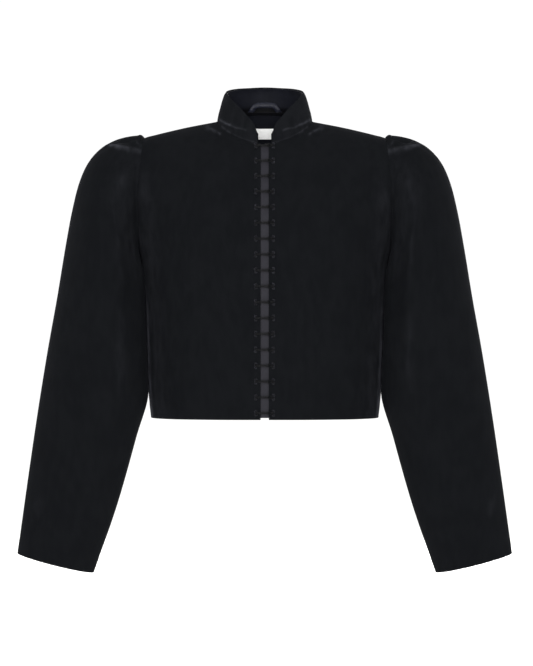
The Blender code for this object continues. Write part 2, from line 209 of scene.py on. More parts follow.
# Half width and depth of the body, by rise above the hem
BODY = table(
    ("rise", "half_width", "front", "back"),
    (0, 170, 104, 92),
    (40, 174, 105, 93),
    (130, 179, 109, 96),
    (225, 183.5, 113, 100),
    (300, 187, 112, 103),
    (360, 186, 108, 102),
    (400, 183, 104, 100),
    (444, 180.4, 100, 98),
)

# Sleeve rings from head to hem: outer and inner point in the front view, how far forward the ring hangs,
# its half depth, and how far its inner front bends round the body
RINGS = table(
    ("out_x", "out_z", "in_x", "in_z", "forward", "depth", "bend"),
    (185, -20.6, 186, -212, 1.5, 55.5, 0),
    (196, -21.6, 186.2, -215, 2, 62, 2),
    (214, -25.2, 186.4, -219, 3, 68, 4.5),
    (234, -33.2, 186.4, -225, 4, 72.5, 6),
    (252, -47.2, 186, -233, 6, 75.5, 9),
    (266.4, -67, 185.4, -243, 9, 77.5, 10),
    (278, -96, 184.4, -258, 13, 78, 10),
    (287.4, -136, 182.4, -280, 18, 76.5, 9.5),
    (296.8, -190, 179.6, -312, 24, 74, 7.5),
    (308.2, -262, 175.9, -352, 29, 69.5, 5),
    (322.8, -345, 172.8, -404, 32, 62.5, 1),
    (338, -437, 191.4, -474, 29, 53.5, 0),
    (353.8, -540, 219.8, -573, 22, 45, 0),
    (369.6, -646.5, 255.8, -675.5, 13, 38, 0),
)
LAST_RING = len(RINGS["out_x"]) - 1

# Tucks of a sleeve head: angle from the shoulder seam, positive to the front, half width and depth
TUCKS = {
    "angle": np.radians([-44.0, -25.0, -8.0, 8.0, 22.0, 55.0]),
    "half": np.radians([9.0, 7.0, 6.0, 6.0, 7.0, 9.0]),
    "depth": np.array([2.6, 3.2, 2.8, 2.4, 1.8, 1.6]) * MM,
}

# Small gathers between the tucks: angle, half width, depth, and the ring where they run out
GATHERS = {
    "angle": np.radians([-68.0, -57.0, -35.0, -16.5, 0.5, 15.0, 34.0, 57.0, 66.0]),
    "half": np.radians([4.0, 4.5, 4.0, 3.5, 3.0, 3.5, 4.0, 4.5, 4.0]),
    "depth": np.array([0.9, 1.3, 1.2, 1.1, 1.0, 1.3, 1.5, 1.3, 0.8]) * MM,
    "end": np.array([2.0, 2.4, 1.8, 1.6, 1.5, 1.8, 2.2, 2.6, 2.0]),
}

# Soft folds down a sleeve: a line of ring and angle, half width, and height at each point
FOLDS = (
    (
        (0, 1.0, 1.6, 2.1, 2.4, 2.7, 3.4),
        (43.5, 41.5, 38, 34, 29.5, 23.5, 10),
        4.5,
        (1, 1.6, 1.8, 1.8, 1.6, 1.2, 0),
    ),
    ((0, 1.05, 1.7, 2.4, 3.2), (37, 31, 24, 14, 4), 5, (-1.4, -2.6, -2.4, -1.6, 0)),
    ((2.2, 4.2, 5.3, 7.0, 8.7, 10.4), (68, 85, 105, 116, 119, 117), 17, (0, 1.0, 1.7, 2.0, 1.5, 0)),
    ((6.2, 7.6, 9.2, 10.8), (62, 70, 78, 84), 15, (0, 1.1, 1.2, 0)),
    ((8.6, 9.6, 10.4, 11.2), (150, 132, 112, 96), 13, (0, 1.3, 1.2, 0)),
    ((9.4, 10.3, 11.2, 12.0), (35, 48, 62, 74), 14, (0, 1.0, 0.9, 0)),
    ((10.6, 11.5, 12.4), (128, 118, 108), 13, (0, 0.9, 0)),
    ((3.0, 5.0, 7.5, 10.0), (-70, -88, -98, -104), 18, (0, 1.2, 1.4, 0)),
    ((8.4, 9.5, 10.6, 11.6), (-142, -126, -108, -92), 14, (0, 1.4, 1.2, 0)),
    ((9.8, 10.8, 11.9), (-48, -60, -72), 14, (0, 1.0, 0)),
)

# Painted highlights of the sleeves: a line of ring and angle, half width, and percent at each point
SLEEVE_LIGHTS = (
    (
        (0, 1.0, 1.6, 2.1, 2.4, 2.7, 3.1),
        (43.2, 41.5, 38.2, 33.8, 29.5, 23.5, 16),
        3.8,
        (26, 28, 42, 60, 72, 76, 0),
    ),
    ((0, 0.5, 0.7, 1.0), (35.5, 27.8, 16.8, 12), 2.0, (10, 16, 14, 0)),
    ((1.6, 2.2, 3.0, 4.0, 4.6), (67, 72, 79, 86.5, 95), 6, (0, 6, 4, 6, 3)),
    ((4.6, 5.2, 6.1, 7.0, 7.8), (95, 106, 110, 116.7, 117), 5, (3, 7, 7, 4, 0)),
    ((8.0, 8.7, 9.2, 9.8, 10.4), (117, 117.8, 118, 118.7, 118), 5, (0, 6, 7, 5, 0)),
    ((12.1, 12.25, 12.4), (41, 48.5, 55), 6, (3, 10, 3)),
    ((0.8, 2.0, 3.5, 5.0, 6.5), (140, 140, 142, 145, 148), 30, (0, 9, 11, 6, 0)),
    ((0.3, 1.0, 2.0, 3.5, 5.0), (74, 76, 80, 86, 94), 22, (0, 4, 4.5, 3, 0)),
)

# Collar: height by angle round the neck from the front, then how far it leans in by share of its height
COLLAR_HEIGHT = {
    "angle": np.radians([8.0, 10.0, 12.0, 14.0, 18.0, 27.0, 33.0, 42.0, 60.0, 90.0, 130.0, 162.0, 180.0]),
    "height": np.array([13.0, 16.2, 22.2, 26.0, 30.7, 36.7, 40.0, 42.8, 44.0, 43.5, 41.2, 39.3, 39.3]) * MM,
}
COLLAR_LEAN = {
    "share": np.array([0.0, 0.1, 0.4, 0.7, 0.9, 1.0]),
    "lean": np.array([0.0, 0.7, 3.9, 7.5, 10.7, 13.5]) * MM,
}

# Creases where the collar meets the fronts, across and up in millimetres, with half width and height
FRONT_CREASES = (
    (((80, -13.8), (76.5, -16), (72, -19), (66, -22.8)), 2.0, 1.1),
    (((98, -21), (84, -27), (70, -34)), 3.5, 0.7),
    (((74, -38), (60, -47), (46, -52)), 5.0, 0.5),
)
COLLAR_CREASES = (
    (((66, 0), (58, -6.5), (47.5, -12), (35, -17), (25, -20.5)), 2.6, 1.2),
    (((68, -10), (60, -15.5), (50, -20.5)), 1.8, 0.9),
    (((66, 12), (60, 6), (50, 0)), 4.0, 0.4),
)

# Painted highlights near the collar, across and up in millimetres, with half width and percent
NECK_LIGHTS = (
    (((66, -0.5), (57.4, -7), (51.4, -9.8)), 1.7, 50),
    (((51.4, -9.8), (42.4, -15.1), (33.5, -16.5), (27.6, -19)), 1.4, 24),
    (((64, -11), (57, -17.5), (52, -21)), 1.5, 36),
    (((52, -21), (40, -28), (28, -33), (18, -36.5)), 1.1, 12),
    (((18, -36.5), (13, -37.5)), 1.5, 25),
    (((80, -13.8), (76.5, -16), (72, -19), (66, -22.8)), 1.7, 42),
    (((86, -4), (84, -12)), 3.5, 28),
)

# Long soft waves of the panels in millimetres: place across, half width, height, and where they start and
# are full, then in the same way the percent of painted highlight along the sides, by how far in from them
FRONT_WAVES = ((62, 26, 0.9, -100, -200), (128, 22, 0.7, -220, -400))
BACK_WAVES = ((70, 24, 1.0, -120, -300),)
SIDE_LIGHTS = ((9, 16, 9, -60, -120), (9, 16, 6, -150, -200))
RIM_LIGHTS = ((2.2, 2.4, 220, -230, -370),)
RIM_SLANT = 0.0247


# Shapes


def curve(xs, ys, at):
    """A smooth line through the points of a table that doesn't overshoot them."""
    step = np.diff(xs)
    slope = np.diff(ys) / step
    product = slope[:-1] * slope[1:]
    total = np.where(product > 0, slope[:-1] + slope[1:], 1.0)
    inner = np.where(product > 0, 2 * product / total, 0.0)
    tangent = np.concatenate([slope[:1], inner, slope[-1:]])
    i = np.clip(np.searchsorted(xs, at) - 1, 0, len(step) - 1)
    t = (at - xs[i]) / step[i]
    bend = (3 - 2 * t) * t * t
    rise = tangent[i] * t * (1 - t) ** 2 - tangent[i + 1] * t * t * (1 - t)
    return ys[i] + (ys[i + 1] - ys[i]) * bend + rise * step[i]


def blend(a, b, t):
    """0 below a, 1 above b and a smooth step between."""
    t = np.clip((t - a) / (b - a), 0, 1)
    return t * t * (3 - 2 * t)


def between(rise, fall, t):
    """1 between two smooth steps, up and then down, and 0 outside them."""
    return blend(*rise, t) * (1 - blend(*fall, t))


def over(a, softness):
    """The part of a above nothing, with its corner rounded off by the softness."""
    return (a + np.sqrt(a * a + softness * softness)) / 2


def unit(v):
    """Vectors brought to length 1."""
    return v / np.maximum(np.linalg.norm(v, axis=-1, keepdims=True), 1e-12)


def normals(grid, closed=False):
    """Unit normals of a grid of points: the columns run across it and the rows up it."""
    if closed:
        across = np.roll(grid, -1, axis=1) - np.roll(grid, 1, axis=1)
    else:
        across = np.gradient(grid, axis=1)
    return unit(np.cross(across, np.gradient(grid, axis=0)))


def mirrored(grid):
    """The same grid on the other side of the body, with its columns still running from -X to +X."""
    return grid[:, ::-1] * np.array([-1, 1, 1])


def run(grid, axis):
    """Length along the cloth from the first row or column."""
    step = np.linalg.norm(np.diff(grid, axis=axis), axis=2)
    start = np.zeros_like(step[:1] if axis == 0 else step[:, :1])
    return np.concatenate([start, np.cumsum(step, axis=axis)], axis=axis)


def edges(grid):
    """Length along the cloth from each border of a grid."""
    up, along = run(grid, 0), run(grid, 1)
    return {"hem": up, "top": up[-1:] - up, "left": along, "right": along[:, -1:] - along}


def hump(distance, half):
    """A soft ridge, 1 on the line and nothing well outside the half width."""
    return np.exp(-((distance / half) ** 2))


def line_distance(grid, line):
    """Distance in the front view from a line of points given in millimetres across and up."""
    flat = np.stack([np.abs(grid[..., 0]), grid[..., 2]], axis=-1)
    line = np.array(line, float) * MM
    found = np.full(grid.shape[:2], np.inf)
    for a, b in zip(line[:-1], line[1:]):
        t = np.clip(((flat - a) @ (b - a)) / ((b - a) @ (b - a)), 0, 1)
        found = np.minimum(found, np.linalg.norm(flat - a - t[..., None] * (b - a), axis=-1))
    return found


def along_lines(grid, lines):
    """Values along the lines that a table lists, fading out to both sides of them."""
    return sum(value * hump(line_distance(grid, line), half * MM) for line, half, value in lines)


def waves(across, up, lines):
    """Values along upright lines that a table lists, where they have started."""
    return sum(
        value * hump(across - at * MM, half * MM) * blend(start * MM, full * MM, up)
        for at, half, value, start, full in lines
    )


# Body surface

TIP_Z = -SHOULDER_SLOPE * (SHOULDER_HALF - NECK_HALF)
UNDERARM = 1 - ARMHOLE_HEIGHT / (TIP_Z - HEM_Z)


def top_edge(x, back, softness=0.0):
    """Depth and height of a panel's top edge above x: the shoulder seam, and the neckline inside it."""
    k = over(1 - (x / NECK_HALF) ** 2, softness)
    along = np.clip((x - NECK_HALF) / (SHOULDER_HALF - NECK_HALF), 0, 1)
    z = SHOULDER_BOW * along * (1 - along) - SHOULDER_SLOPE * NECK_HALF * over(x / NECK_HALF - 1, softness)
    if back:
        return NECK_BACK_OUT * np.sqrt(k), z + NECK_BACK_RISE * np.sqrt(k)
    return -NECK_FRONT_OUT * np.sqrt(k), z - NECK_FRONT_DROP * k**NECK_FRONT_POWER


def half_width(w):
    """Half width of the body a share w of the way up."""
    return curve(BODY["rise"], BODY["half_width"], w * -HEM_Z)


def edge_depth(w, back):
    """Depth of the side edge: nothing up to the underarm, then half of the armhole's oval."""
    middle = (1 + UNDERARM) / 2
    oval = np.sqrt(np.clip(1 - ((w - middle) / (1 - middle)) ** 2, 0, 1))
    depth = np.where(w > UNDERARM, oval, 0.0)
    return depth * (ARMHOLE_BACK if back else -ARMHOLE_FRONT)


def cut_in(w, back):
    """Where the armhole cuts a section, as a share of its full half width: 1 below the underarm."""
    w = np.minimum(w, JUST_BELOW_TOP)
    below = np.minimum((1 - w) * (TIP_Z - HEM_Z) / SHOULDER_ROLL, 1)
    full = curve(BODY["rise"], BODY["back" if back else "front"], w * -HEM_Z)
    full = full * (1 - (1 - below) ** 2) ** ROLL_AT_SHOULDER
    edge = np.minimum(np.abs(edge_depth(w, back)) / full, MOST_CUT)
    return (1 - edge**SECTION_POWER) ** (1 / SECTION_POWER)


def body_point(x, x_top, w, back):
    """A point of the body at x, a share w of the way up a column that ends above x_top."""
    z = HEM_Z + (top_edge(x_top, back)[1] - HEM_Z) * w
    y_top, z_top = top_edge(x, back, NECK_SOFTNESS * (1 - w))
    below = np.clip((z_top - z) / SHOULDER_ROLL, 0, 1)
    power = ROLL_AT_NECK + (ROLL_AT_SHOULDER - ROLL_AT_NECK) * blend(*ROLL_CHANGES, x)
    roll = (1 - (1 - below) ** 2) ** power
    depth = curve(BODY["rise"], BODY["back" if back else "front"], w * -HEM_Z)
    profile = y_top + ((depth if back else -depth) - y_top) * roll
    s = np.clip(x / half_width(w), 0, 1) * cut_in(w, back)
    y = profile * (1 - s**SECTION_POWER) ** (1 / SECTION_POWER)
    return np.stack([x, y, z], axis=-1)


def panel_columns(back):
    """Column places at the hem, as shares of the width, and at the top edge, in metres."""
    at = np.linspace(0, ALL_COLUMNS, ALL_COLUMNS * FINER + 1)
    if back:
        angle = np.linspace(0, math.pi / 2, NECK_COLUMNS + 1)
    else:
        onward = np.linspace(math.asin(COLLAR_EDGE / NECK_HALF), math.pi / 2, NECK_COLUMNS)
        angle = np.concatenate([[math.asin(FRONT_EDGE / NECK_HALF)], onward])
    neck = NECK_HALF * np.sin(np.interp(at, np.arange(NECK_COLUMNS + 1), angle))
    shoulder = np.clip((at - NECK_COLUMNS) / (ALL_COLUMNS - NECK_COLUMNS), 0, 1)
    top = neck + (SHOULDER_HALF - NECK_HALF) * shoulder
    return np.sin(at / ALL_COLUMNS * math.pi / 2), top


def panel_rows():
    """Rows as shares of the height: closer at the hem, then even round the armhole's oval."""
    low = UNDERARM * np.linspace(0, 1, ROWS_LOW + 1) ** ROWS_CLOSER
    turn = np.linspace(0, math.pi, ROWS_HIGH + 1)[1:]
    return np.concatenate([low, UNDERARM + (1 - UNDERARM) * (1 - np.cos(turn)) / 2])


def half_panel(back):
    """Points of half a panel, from the centre to the side, hem first."""
    hem, top = panel_columns(back)
    w = panel_rows()[:, None] * np.ones_like(top)
    edge = half_width(w)
    low = top[0] + (edge - top[0]) * hem
    high = top * edge / SHOULDER_HALF
    high[:, 0] = top[0]
    x = low + (high - low) * blend(0.0, 1.0, w)
    x[-1] = top
    return body_point(x, top + 0 * w, w, back)


def drawn_in(grid, sides, by):
    """The grid with the named borders drawn in along the cloth, to leave the gap of a seam."""
    grid = grid.copy()
    if "left" in sides:
        grid[:, 0] += by * unit(grid[:, 1] - grid[:, 0])
    if "right" in sides:
        grid[:, -1] += by * unit(grid[:, -2] - grid[:, -1])
    if "top" in sides:
        grid[-1] += by * unit(grid[-2] - grid[-1])
    return grid


# Making of pieces


def feed(node, inputs):
    """Sets inputs of a node to values, or links outputs to them."""
    for key, value in inputs.items():
        if isinstance(value, bpy.types.NodeSocket):
            node.id_data.links.new(value, node.inputs[key])
        else:
            node.inputs[key].default_value = value


def add(tree, kind, inputs=None, out=0, **settings):
    """A new node with its settings and inputs, as one of its outputs."""
    made = tree.nodes.new(kind)
    for key, value in settings.items():
        setattr(made, key, value)
    feed(made, inputs or {})
    return made.outputs[out]


def linear(hex_colour):
    """An sRGB hex colour as linear red, green, blue and alpha."""
    channels = [int(hex_colour[i : i + 2], 16) / 255 for i in (0, 2, 4)]
    return [c / 12.92 if c <= 0.04045 else ((c + 0.055) / 1.055) ** 2.4 for c in channels] + [1.0]


def surface(name, **values):
    """A new material with these values on its shader, its node tree and the shader."""
    made = bpy.data.materials.new(name)
    made.use_nodes = True
    shader = made.node_tree.nodes["Principled BSDF"]
    feed(shader, {key.replace("_", " "): value for key, value in values.items()})
    return made, made.node_tree, shader


def shown(name, data, finishes, node_names):
    """A piece at the origin that rides on the root, stands for CAD nodes and takes its finishes."""
    made = bpy.data.objects.new(name, data)
    bpy.context.scene.collection.objects.link(made)
    for finish in finishes:
        data.materials.append(finish)
    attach(made, "root")
    if node_names:
        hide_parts(*node_names)
    return made


def cloth(outer, inner, closed=False, turned=0.0, edge=ROUND, sewn=(), pile_and_painted_light=None, layer="pile_and_painted_light"):
    """A mesh of a sheet of cloth: a grid laid on the outer points, extruded through to the inner ones.

    The rims are rounded, but for the sewn borders. The inside takes the second finish, above the turned-up
    hem. Painted light and shade go into a named layer, which a finish reads to be lighter or darker there.
    """
    rows, columns = outer.shape[:2]
    across = columns if closed else columns - 1
    wrapped = np.concatenate([outer, outer[:, :1]], axis=1) if closed else outer
    along, up = run(wrapped, 1), run(wrapped, 0)
    bm = bmesh.new()
    weave = bm.loops.layers.uv.new("weave")
    bmesh.ops.create_grid(bm, x_segments=across, y_segments=rows - 1, size=1.0)
    place_of = bm.verts.layers.int.new("place")
    # Painted light and shade go into this layer, one value per point
    lightness = bm.verts.layers.float.new(layer)
    for vert in bm.verts:
        row, column = divmod(vert.index, across + 1)
        vert[place_of] = row * columns + column % columns
        vert.co = outer[row, column % columns]
        if pile_and_painted_light is not None:
            vert[lightness] = pile_and_painted_light[row, column % columns]
    for face in bm.faces:
        for loop in face.loops:
            row, column = divmod(loop.vert.index, across + 1)
            loop[weave].uv = (along[row, column], up[row, column])
    if closed:
        bmesh.ops.remove_doubles(bm, verts=bm.verts, dist=1e-7)
    outside = set(bm.faces)
    result = bmesh.ops.extrude_face_region(bm, geom=bm.faces[:], use_keep_orig=True)
    inside = set()
    through = inner.reshape(-1, 3)
    height = up[:, 0]
    for item in result["geom"]:
        if isinstance(item, bmesh.types.BMVert):
            item.co = through[item[place_of]]
        elif isinstance(item, bmesh.types.BMFace):
            inside.add(item)
    for face in inside:
        row = min(vert[place_of] // columns for vert in face.verts)
        face.material_index = int(height[row] >= turned)
    rim = [f for f in bm.faces if f not in outside and f not in inside]
    corners = {e for f in rim for e in f.edges if any(o in outside or o in inside for o in e.link_faces)}
    borders = {"hem": (0, 0), "top": (0, rows - 1), "left": (1, 0), "right": (1, columns - 1)}
    for axis, line in (borders[border] for border in sewn):
        for corner in list(corners):
            if all(divmod(vert[place_of], columns)[axis] == line for vert in corner.verts):
                corner.smooth = False
                corners.discard(corner)
    bmesh.ops.recalc_face_normals(bm, faces=bm.faces)
    bmesh.ops.bevel(
        bm,
        geom=list(corners),
        offset=edge,
        offset_type="OFFSET",
        segments=3,
        profile=0.5,
        affect="EDGES",
        clamp_overlap=True,
        material=-1,
    )
    for face in bm.faces:
        face.smooth = True
    mesh = bpy.data.meshes.new("cloth")
    bm.to_mesh(mesh)
    bm.free()
    return mesh


def wires(paths, radius, rounding=2):
    """Round wires or threads bent along paths, as one curve."""
    data = bpy.data.curves.new("wire", "CURVE")
    data.dimensions = "3D"
    data.bevel_depth = radius
    data.bevel_resolution = rounding
    data.use_fill_caps = True
    for path in paths:
        spline = data.splines.new("POLY")
        spline.points.add(len(path) - 1)
        for point, at in zip(spline.points, path):
            point.co = (*at, 1.0)
    return data


def smoothed(path, steps=4):
    """A smooth path through the points of another."""
    path = np.array(path, float)
    ends = np.concatenate([2 * path[:1] - path[1:2], path, 2 * path[-1:] - path[-2:-1]])
    found = []
    for a, b, c, d in zip(ends[:-3], ends[1:-2], ends[2:-1], ends[3:]):
        for t in np.arange(steps) / steps:
            slope = (c - a) * t + (2 * a - 5 * b + 4 * c - d) * t**2 + (3 * b - a - 3 * c + d) * t**3
            found.append(b + slope / 2)
    return np.array(found + [path[-1]])


# Materials

WAVE = 20  # a wave texture turns this many radians to a unit of its scale

# Cotton velvet, cut pile: the pile swallows light that falls straight on it and shines at grazing angles
PILE = 1.1 * MM  # real tufts are 0.3 mm, drawn coarser to show
NAP_PATCH = 38 * MM
BRUSH = 9 * MM
velvet, tree, shader = surface(
    "black_cotton_velvet",
    Roughness=0.92,
    IOR=1.45,
    Specular_IOR_Level=0.021,
    Sheen_Weight=0.01,
    Sheen_Roughness=0.42,
    Sheen_Tint=linear("C8CCE0"),
)
coords = add(tree, "ShaderNodeTexCoord", out="Object")
patches = {"Vector": coords, "Scale": 1 / NAP_PATCH, "Detail": 3.0, "Roughness": 0.55}
nap = add(tree, "ShaderNodeTexNoise", patches)
stroke = add(tree, "ShaderNodeMapping", {"Vector": coords, "Scale": (1.0, 1.0, 0.35)})
strokes = {"Vector": stroke, "Scale": 1 / BRUSH, "Detail": 2.0, "Roughness": 0.5}
brushed = add(tree, "ShaderNodeTexNoise", strokes)
pile_and_painted_light = add(tree, "ShaderNodeTexNoise", {"Vector": coords, "Scale": 1 / PILE, "Detail": 1.0})
lay = add(tree, "ShaderNodeMath", {0: nap, 1: brushed}, operation="ADD")
range_of_lay = {"Value": lay, "From Min": 0.75, "From Max": 1.25}
spread = add(tree, "ShaderNodeMapRange", range_of_lay, interpolation_type="SMOOTHSTEP")
tone = add(tree, "ShaderNodeMixRGB", {"Fac": spread, "Color1": linear("0A0B0D"), "Color2": linear("0C0D0F")})
# Painted highlights and sheen: the painted-light layer lifts the velvet's tone towards a light grey
flat = add(tree, "ShaderNodeAttribute", out="Fac", attribute_name="pile_and_painted_light")
streaks = {"Value": brushed, "From Min": 0.35, "From Max": 0.65, "To Min": 0.11, "To Max": 0.32}
uneven = add(tree, "ShaderNodeMapRange", streaks)
flat = add(tree, "ShaderNodeMath", {0: flat, 1: uneven}, operation="MULTIPLY")
tone = add(tree, "ShaderNodeMixRGB", {"Fac": flat, "Color1": tone, "Color2": linear("55565E")})
raised = add(tree, "ShaderNodeBump", {"Height": pile_and_painted_light, "Strength": 0.35, "Distance": 0.35 * MM})
feed(shader, {"Base Color": tone, "Normal": raised})

# Satin lining, woven polyester: smooth float threads that slide light along them
THREAD = 0.9 * MM  # real threads are 0.15 mm, drawn coarser to show
CLOUD = 16 * MM


def satin_threads(tree, slant, unevenness):
    """The float threads of satin, at a slant in degrees to the cloth's length."""
    weave = add(tree, "ShaderNodeUVMap", uv_map="weave")
    turned = add(tree, "ShaderNodeMapping", {"Vector": weave, "Rotation": (0, 0, math.radians(slant))})
    threads = {"Vector": turned, "Scale": 1 / (THREAD * WAVE), "Distortion": unevenness, "Detail": 1.0}
    return add(tree, "ShaderNodeTexWave", threads, out="Fac")


lining, tree, shader = surface(
    "black_satin_lining", Roughness=0.5, IOR=1.5, Specular_IOR_Level=0.04, Sheen_Weight=0.012
)
twill = satin_threads(tree, 32, 1.2)
coords = add(tree, "ShaderNodeTexCoord", out="Object")
cloud = add(tree, "ShaderNodeTexNoise", {"Vector": coords, "Scale": 1 / CLOUD, "Detail": 2.0})
tone = add(tree, "ShaderNodeMixRGB", {"Fac": cloud, "Color1": linear("0D0E13"), "Color2": linear("15161C")})
shade = add(tree, "ShaderNodeAttribute", out="Fac", attribute_name="shade")
tone = add(tree, "ShaderNodeMixRGB", {"Fac": shade, "Color1": tone, "Color2": linear("020204")})
raised = add(tree, "ShaderNodeBump", {"Height": twill, "Strength": 0.2, "Distance": 0.1 * MM})
feed(shader, {"Base Color": tone, "Normal": raised})

# Grosgrain ribbon, ribbed weave of dull and bright yarn: the ribs are in the mesh, the yarn here
YARN = 0.8 * MM
grosgrain, tree, shader = surface(
    "grey_grosgrain", Roughness=0.62, IOR=1.5, Specular_IOR_Level=0.12, Sheen_Weight=0.03, Sheen_Roughness=0.4
)
coords = add(tree, "ShaderNodeTexCoord", out="Object")
flecks = {"Vector": coords, "Scale": 1 / YARN, "Detail": 2.0, "Roughness": 0.6}
fleck = add(tree, "ShaderNodeTexNoise", flecks)
tone = add(tree, "ShaderNodeMixRGB", {"Fac": fleck, "Color1": linear("121216"), "Color2": linear("1C1B22")})
shade = add(tree, "ShaderNodeAttribute", out="Fac", attribute_name="shade")
tone = add(tree, "ShaderNodeMixRGB", {"Fac": shade, "Color1": tone, "Color2": linear("030305")})
raised = add(tree, "ShaderNodeBump", {"Height": fleck, "Strength": 0.3, "Distance": 0.15 * MM})
feed(shader, {"Base Color": tone, "Normal": raised})

# Satin tube of the loop, cut on the bias: its threads wind round it
satin, tree, shader = surface(
    "slate_satin_tube", Roughness=0.42, IOR=1.5, Specular_IOR_Level=0.115, Sheen_Weight=0.01
)
twist = satin_threads(tree, 45, 0.8)
tone = add(tree, "ShaderNodeMixRGB", {"Fac": twist, "Color1": linear("11121B"), "Color2": linear("191B26")})
raised = add(tree, "ShaderNodeBump", {"Height": twist, "Strength": 0.3, "Distance": 0.15 * MM})
feed(shader, {"Base Color": tone, "Normal": raised})

# Woven white tape: a plain weave of dull yarn
TAPE_YARN = 0.7 * MM  # real yarn is 0.25 mm, drawn coarser to show
tape, tree, shader = surface("white_woven_tape", Roughness=0.75, IOR=1.5, Specular_IOR_Level=0.3)
weave = add(tree, "ShaderNodeUVMap", uv_map="weave")
yarns = {"Vector": weave, "Scale": 1 / TAPE_YARN, "Color1": linear("FFFFFE"), "Color2": linear("FAFAF8")}
tone = add(tree, "ShaderNodeTexChecker", yarns)
crossing = tone.node.outputs["Fac"]
raised = add(tree, "ShaderNodeBump", {"Height": crossing, "Strength": 0.25, "Distance": 0.1 * MM})
feed(shader, {"Base Color": tone, "Normal": raised})

# Enamelled brass wire: a baked black coat, a little thinner and duller where it rubs
RUB = 1.6 * MM
enamel, tree, shader = surface("black_enamelled_wire", IOR=1.5, Specular_IOR_Level=0.07)
coords = add(tree, "ShaderNodeTexCoord", out="Object")
rubbed = add(tree, "ShaderNodeTexNoise", {"Vector": coords, "Scale": 1 / RUB, "Detail": 2.0})
dull = add(tree, "ShaderNodeMapRange", {"Value": rubbed, "To Min": 0.24, "To Max": 0.45})
tone = add(tree, "ShaderNodeMixRGB", {"Fac": rubbed, "Color1": linear("060607"), "Color2": linear("0D0D0F")})
feed(shader, {"Base Color": tone, "Roughness": dull})

# Sewing thread, twisted polyester: short glints across the ply, painted into its colour as a lighter tone
PLY = 0.8 * MM


def thread_finish(name, dark, light):
    """Sewing thread in one colour, with its ply in two tones, the lighter a painted glint."""
    made, tree, shader = surface(name, Roughness=0.5, IOR=1.5, Specular_IOR_Level=0.2)
    coords = add(tree, "ShaderNodeTexCoord", out="Object")
    turned = add(tree, "ShaderNodeMapping", {"Vector": coords, "Rotation": (0.6, 0.5, 0.7)})
    ply = add(tree, "ShaderNodeTexWave", {"Vector": turned, "Scale": 1 / (PLY * WAVE)}, out="Fac")
    tone = add(tree, "ShaderNodeMixRGB", {"Fac": ply, "Color1": linear(dark), "Color2": linear(light)})
    feed(shader, {"Base Color": tone})
    return made


# The black thread is painted grey, lighter than black, for painted glints round the eyelets
black_thread = thread_finish("black_sewing_thread", "1A1A20", "32323A")
white_thread = thread_finish("white_sewing_thread", "DCDCD8", "F4F4F2")


# Fronts and back

SEAM_DIP = 0.35 * MM
SEAM_REACH = 2.4 * MM
SEAM_PUFF = 0.2 * MM
PUFF_IN = 3.2 * SEAM_REACH
PUFF_HALF = 1.6 * SEAM_REACH
TURNED = 22 * MM
TURN_STEP = 0.25 * MM
TURN_WALL = 0.8 * MM
ARMHOLE_EASE = 3 * MM
ARMHOLE_REACH = 16 * MM
EASE_SHARES = (0.3, 0.55), (0.9, 1.0)  # of the armhole's height

# Painted highlight beside the armhole: how much, how far in, half width, and the heights it keeps to
ARMHOLE_LIGHT = 0.1
ARMHOLE_LIGHT_IN = 7 * MM
ARMHOLE_LIGHT_HALF = 13 * MM
ARMHOLE_LIGHT_HEIGHTS = (-0.25, -0.22), (-0.17, -0.14)


def seam_puff(distance):
    """How cloth stands a little proud beside a seam."""
    return SEAM_PUFF * hump(distance - PUFF_IN, PUFF_HALF)


def seam_relief(distance):
    """How a panel sinks into a pressed seam and stands a little proud beside it."""
    return seam_puff(distance) - SEAM_DIP * hump(distance, SEAM_REACH)


def turned_edge(distance):
    """How a folded edge stands proud as far as the cloth is turned up behind it."""
    return TURN_STEP * (1 - blend(TURNED - 3 * MM, TURNED + 2 * MM, distance))


def thickness(distance):
    """Wall of a panel, thicker as far as its hem is turned up."""
    return WALL + TURN_WALL * (1 - blend(TURNED - 2 * MM, TURNED + 1 * MM, distance))


def pair(name, outer, inner, sewn, pile_and_painted_light, closed=False):
    """A velvet piece on the wearer's left, and its mirror image on the right."""
    opposite = ["left" if border == "right" else border for border in sewn]
    made = []
    for side, faces, borders, light in (
        ("left", (outer, inner), sewn, pile_and_painted_light),
        ("right", (mirrored(outer), mirrored(inner)), opposite, pile_and_painted_light[:, ::-1]),
    ):
        data = cloth(*faces, closed=closed, turned=TURNED, sewn=borders, pile_and_painted_light=light)
        made.append(shown(f"velvet_{name}_{side}", data, (velvet, lining), (f"{name}_{side}",)))
    return made


front = half_panel(False)
back_half = half_panel(True)
front_out = normals(front)
back_out = -normals(back_half)
shared = np.zeros(front.shape[:2], bool)
shared[-1, NECK_COLUMNS * FINER :] = True
shared[: ROWS_LOW + 1, -1] = True
mean_out = unit(front_out + back_out)
front_out[shared] = mean_out[shared]
back_out[shared] = mean_out[shared]

reach = edges(front)
up = front[..., 2]
relief = seam_relief(reach["top"]) + seam_relief(reach["right"]) + turned_edge(reach["hem"])
relief += MM * waves(front[..., 0], up, FRONT_WAVES)
relief += MM * along_lines(front, FRONT_CREASES) * np.clip(reach["top"] / SEAM_REACH, 0, 1)
above = np.clip((panel_rows() - UNDERARM) / (1 - UNDERARM), 0, 1)[:, None]
relief += ARMHOLE_EASE * hump(reach["right"], ARMHOLE_REACH) * between(*EASE_SHARES, above)
from_side = half_width(panel_rows())[:, None] - front[..., 0]
